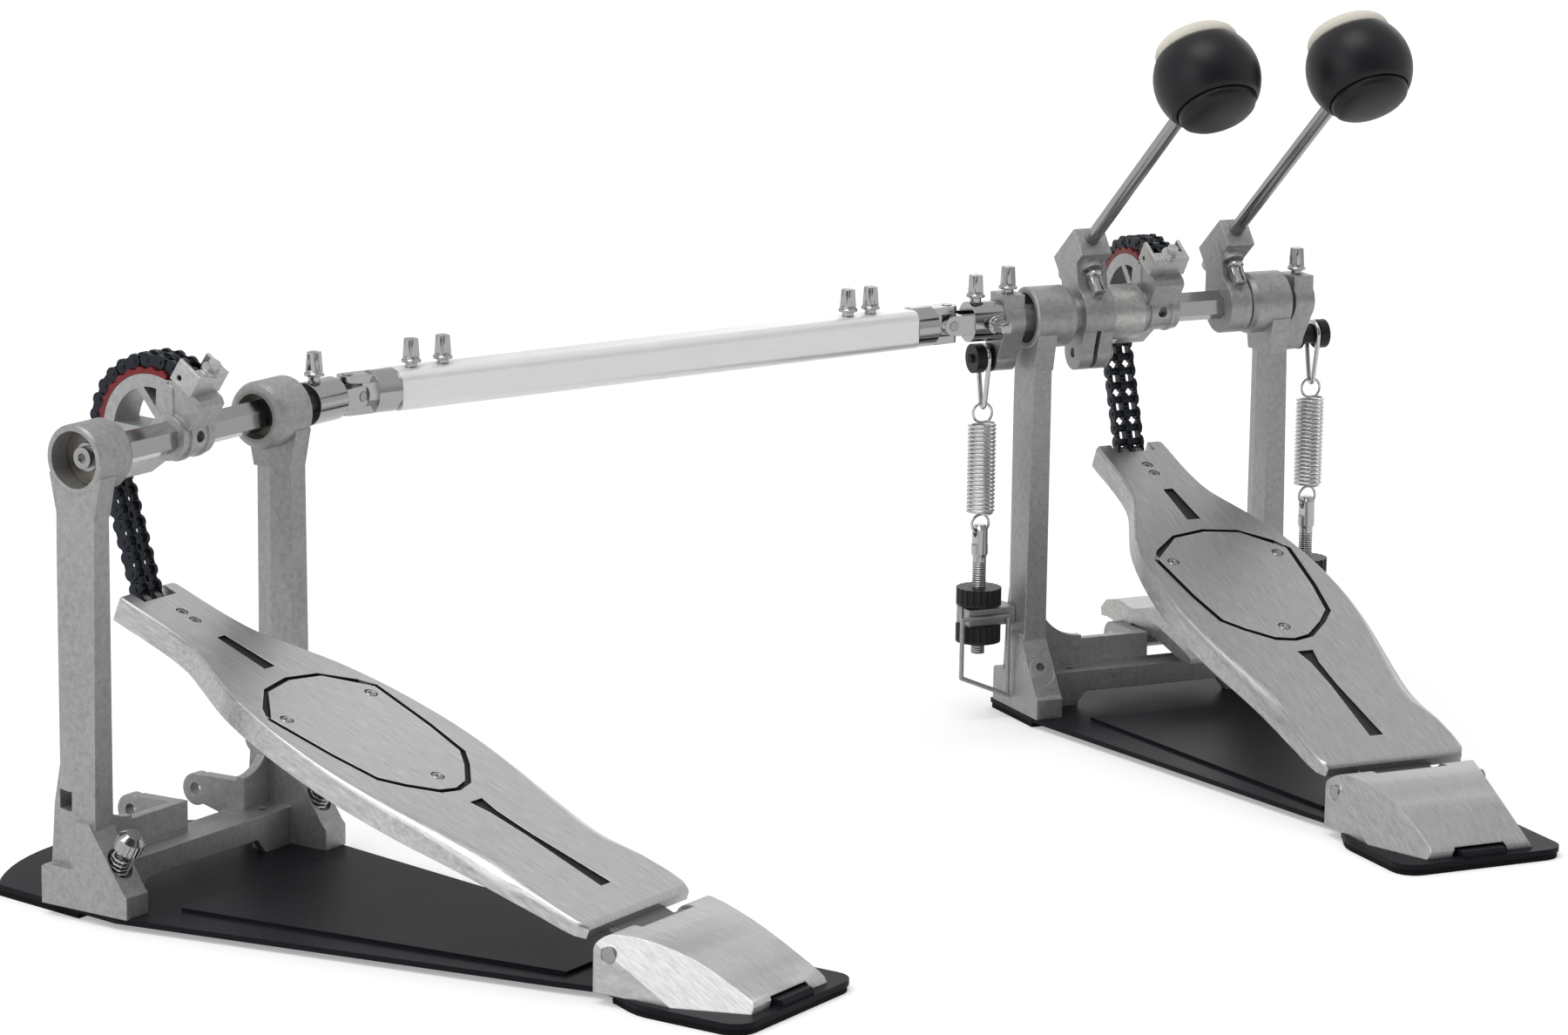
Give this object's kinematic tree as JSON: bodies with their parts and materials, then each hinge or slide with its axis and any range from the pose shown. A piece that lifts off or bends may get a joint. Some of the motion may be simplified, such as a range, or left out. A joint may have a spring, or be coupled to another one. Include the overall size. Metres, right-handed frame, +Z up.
{
  "type": "double bass drum pedal",
  "caption": "Double bass drum pedal: chain-driven footboards on floor plates, twin beaters, and a linking shaft with universal joints to the remote pedal.",
  "frame": {"origin": "On the floor, under the middle of the main pedal's axle.", "axes": "+X along the main axle to the player's right, +Y towards the drum, +Z up."},
  "size_m": [0.6526, 0.421, 0.3185],
  "materials": {
    "cast": "bare die-cast metal, mottled satin grey",
    "plate": "satin black coated sheet",
    "rubber": "matt black rubber",
    "bearing": "dull bearing steel",
    "board": "lengthwise brushed aluminium",
    "leaf": "dark brushed steel",
    "anchor": "dark grey coated block",
    "steel": "bright turned steel",
    "spring": "bright plated spring wire",
    "chrome": "bright chrome plate",
    "cam": "satin cast alloy",
    "strip": "deep red moulded strip",
    "chain": "blackened oiled steel",
    "tube": "bright drawn tube",
    "knob": "black knurled plastic",
    "ball": "black moulded head",
    "felt": "cream pressed felt"
  },
  "bodies": {
    "frames": {"main_frame": "cast", "remote_frame": "cast", "baseplates": "plate", "rubber_pads": "rubber", "bearings": "bearing", "heel_blocks": "board", "spring_lugs": "cast", "eye_bolts": "steel", "spring_nuts": "knob", "spur_springs": "spring"},
    "hoop_clamp": {"hoop_clamp": "cam"},
    "left_spur": {"left_spur": "chrome"},
    "right_spur": {"right_spur": "chrome"},
    "main_footboard": {"main_footboard": "board", "main_foot_plate": "board", "main_hinge_leaf": "leaf", "main_chain_anchor": "anchor"},
    "remote_footboard": {"remote_footboard": "board", "remote_foot_plate": "board", "remote_hinge_leaf": "leaf", "remote_chain_anchor": "anchor"},
    "main_axle": {"main_axle": "steel", "main_cam": "cam", "main_cam_strip": "strip", "main_chain_clamp": "chrome", "main_chain_wrap": "chain", "right_beater_holder": "cast", "right_rocker": "cast", "right_roller": "knob", "right_beater_shaft": "steel", "right_beater_head": "ball", "right_beater_felt": "felt"},
    "remote_axle": {"remote_axle": "steel", "remote_cam": "cam", "remote_cam_strip": "strip", "remote_chain_clamp": "chrome", "remote_chain_wrap": "chain", "remote_yoke": "chrome"},
    "main_chain_upper": {"main_chain_upper": "chain"},
    "main_chain_middle": {"main_chain_middle": "chain"},
    "main_chain_run": {"main_chain_run": "chain"},
    "remote_chain_upper": {"remote_chain_upper": "chain"},
    "remote_chain_middle": {"remote_chain_middle": "chain"},
    "remote_chain_run": {"remote_chain_run": "chain"},
    "remote_spider": {"remote_spider": "steel"},
    "drive_shaft": {"drive_tube": "tube", "tube_yokes": "chrome"},
    "main_spider": {"main_spider": "steel"},
    "left_beater": {"left_sleeve": "steel", "left_yoke": "chrome", "left_beater_holder": "cast", "left_rocker": "cast", "left_roller": "knob", "left_beater_shaft": "steel", "left_beater_head": "ball", "left_beater_felt": "felt"},
    "right_link": {"right_link": "steel"},
    "right_spring": {"right_spring": "spring"},
    "left_link": {"left_link": "steel"},
    "left_spring": {"left_spring": "spring"}
  },
  "joints": [
    {"name": "main_footboard_hinge", "type": "hinge", "parent": "frames", "child": "main_footboard", "pos_m": [0, -0.2263, 0.0194], "axis": [-1, 0, 0], "range_deg": [0, 8.1], "stiffness_Nm_per_rad": 6, "springref_deg": -17.19},
    {"name": "main_axle_turn", "type": "hinge", "parent": "frames", "child": "main_axle", "pos_m": [0, 0, 0.178], "axis": [-1, 0, 0], "range_deg": [0, 50.38]},
    {"name": "main_upper_pin", "type": "hinge", "parent": "main_axle", "child": "main_chain_upper", "pos_m": [0, 0.02449, 0.20243], "axis": [1, 0, 0], "range_deg": [0, 7.77]},
    {"name": "main_middle_pin", "type": "hinge", "parent": "main_chain_upper", "child": "main_chain_middle", "pos_m": [0, 0.03655, 0.18809], "axis": [1, 0, 0], "range_deg": [0, 32.03]},
    {"name": "main_run_pin", "type": "hinge", "parent": "main_chain_middle", "child": "main_chain_run", "pos_m": [0, 0.03706, 0.16936], "axis": [1, 0, 0], "range_deg": [0, 25.12]},
    {"name": "remote_footboard_hinge", "type": "hinge", "parent": "frames", "child": "remote_footboard", "pos_m": [-0.36382, -0.30575, 0.0194], "axis": [-0.8517, -0.524, 0], "range_deg": [0, 8.1], "stiffness_Nm_per_rad": 6, "springref_deg": -17.19},
    {"name": "remote_axle_turn", "type": "hinge", "parent": "frames", "child": "remote_axle", "pos_m": [-0.4824, -0.113, 0.178], "axis": [-0.8517, -0.524, 0], "range_deg": [0, 50.38]},
    {"name": "remote_upper_pin", "type": "hinge", "parent": "remote_axle", "child": "remote_chain_upper", "pos_m": [-0.49523, -0.09214, 0.20243], "axis": [0.8517, 0.524, 0], "range_deg": [0, 7.77]},
    {"name": "remote_middle_pin", "type": "hinge", "parent": "remote_chain_upper", "child": "remote_chain_middle", "pos_m": [-0.50155, -0.08187, 0.18809], "axis": [0.8517, 0.524, 0], "range_deg": [0, 32.03]},
    {"name": "remote_run_pin", "type": "hinge", "parent": "remote_chain_middle", "child": "remote_chain_run", "pos_m": [-0.50182, -0.08144, 0.16936], "axis": [0.8517, 0.524, 0], "range_deg": [0, 25.12]},
    {"name": "remote_spider_turn", "type": "hinge", "parent": "remote_axle", "child": "remote_spider", "pos_m": [-0.39638, -0.06008, 0.178], "axis": [-0.524, 0.8517, 0], "range_deg": [0, 15.75]},
    {"name": "drive_shaft_turn", "type": "hinge", "parent": "frames", "child": "drive_shaft", "pos_m": [-0.39638, -0.06008, 0.178], "axis": [-0.9799, -0.1993, 0], "range_deg": [0, 52.13]},
    {"name": "left_sleeve_turn", "type": "hinge", "parent": "frames", "child": "left_beater", "pos_m": [0, 0, 0.178], "axis": [-1, 0, 0], "range_deg": [0, 51.57]},
    {"name": "main_spider_turn", "type": "hinge", "parent": "left_beater", "child": "main_spider", "pos_m": [-0.101, 0, 0.178], "axis": [0, 1, 0], "range_deg": [-9.06, 0]},
    {"name": "right_link_swing", "type": "hinge", "parent": "main_axle", "child": "right_link", "pos_m": [0.0844, 0.006, 0.1605], "axis": [1, 0, 0], "range_deg": [0, 61.56]},
    {"name": "right_spring_stretch", "type": "slide", "parent": "right_link", "child": "right_spring", "axis": [0, 0, -1], "range_m": [0, 0.00326], "deforming": ["right_spring"]},
    {"name": "left_link_swing", "type": "hinge", "parent": "left_beater", "child": "left_link", "pos_m": [-0.0796, 0.006, 0.1605], "axis": [1, 0, 0], "range_deg": [0, 62.95]},
    {"name": "left_spring_stretch", "type": "slide", "parent": "left_link", "child": "left_spring", "axis": [0, 0, -1], "range_m": [0, 0.00352], "deforming": ["left_spring"]},
    {"name": "hoop_clamp_pivot", "type": "hinge", "parent": "frames", "child": "hoop_clamp", "pos_m": [0.02, 0.027, 0.025], "axis": [1, 0, 0], "range_deg": [-5, 3]},
    {"name": "left_spur_turn", "type": "hinge", "parent": "frames", "child": "left_spur", "pos_m": [-0.52591, -0.15679, 0.019], "axis": [0.262, -0.4259, 0.866], "continuous": true},
    {"name": "right_spur_turn", "type": "hinge", "parent": "frames", "child": "right_spur", "pos_m": [-0.4237, -0.09391, 0.019], "axis": [0.262, -0.4259, 0.866], "continuous": true}
  ],
  "couplings": [
    {"joint": "main_axle_turn", "follows": "main_footboard_hinge", "ratio": 6.2158},
    {"joint": "main_upper_pin", "follows": "main_footboard_hinge", "ratio": 0.9583},
    {"joint": "main_middle_pin", "follows": "main_footboard_hinge", "ratio": 3.952},
    {"joint": "main_run_pin", "follows": "main_footboard_hinge", "ratio": 3.0993},
    {"joint": "remote_axle_turn", "follows": "remote_footboard_hinge", "ratio": 6.2158},
    {"joint": "remote_upper_pin", "follows": "remote_footboard_hinge", "ratio": 0.9583},
    {"joint": "remote_middle_pin", "follows": "remote_footboard_hinge", "ratio": 3.952},
    {"joint": "remote_run_pin", "follows": "remote_footboard_hinge", "ratio": 3.0993},
    {"joint": "remote_spider_turn", "follows": "remote_footboard_hinge", "ratio": 1.943},
    {"joint": "drive_shaft_turn", "follows": "remote_footboard_hinge", "ratio": 6.4329},
    {"joint": "left_sleeve_turn", "follows": "remote_footboard_hinge", "ratio": 6.3632},
    {"joint": "main_spider_turn", "follows": "remote_footboard_hinge", "ratio": -1.1172},
    {"joint": "right_link_swing", "follows": "main_footboard_hinge", "ratio": 7.5955},
    {"joint": "right_spring_stretch", "follows": "main_footboard_hinge", "m_per_rad": 0.02295},
    {"joint": "left_link_swing", "follows": "remote_footboard_hinge", "ratio": 7.7675},
    {"joint": "left_spring_stretch", "follows": "remote_footboard_hinge", "m_per_rad": 0.02482}
  ]
}
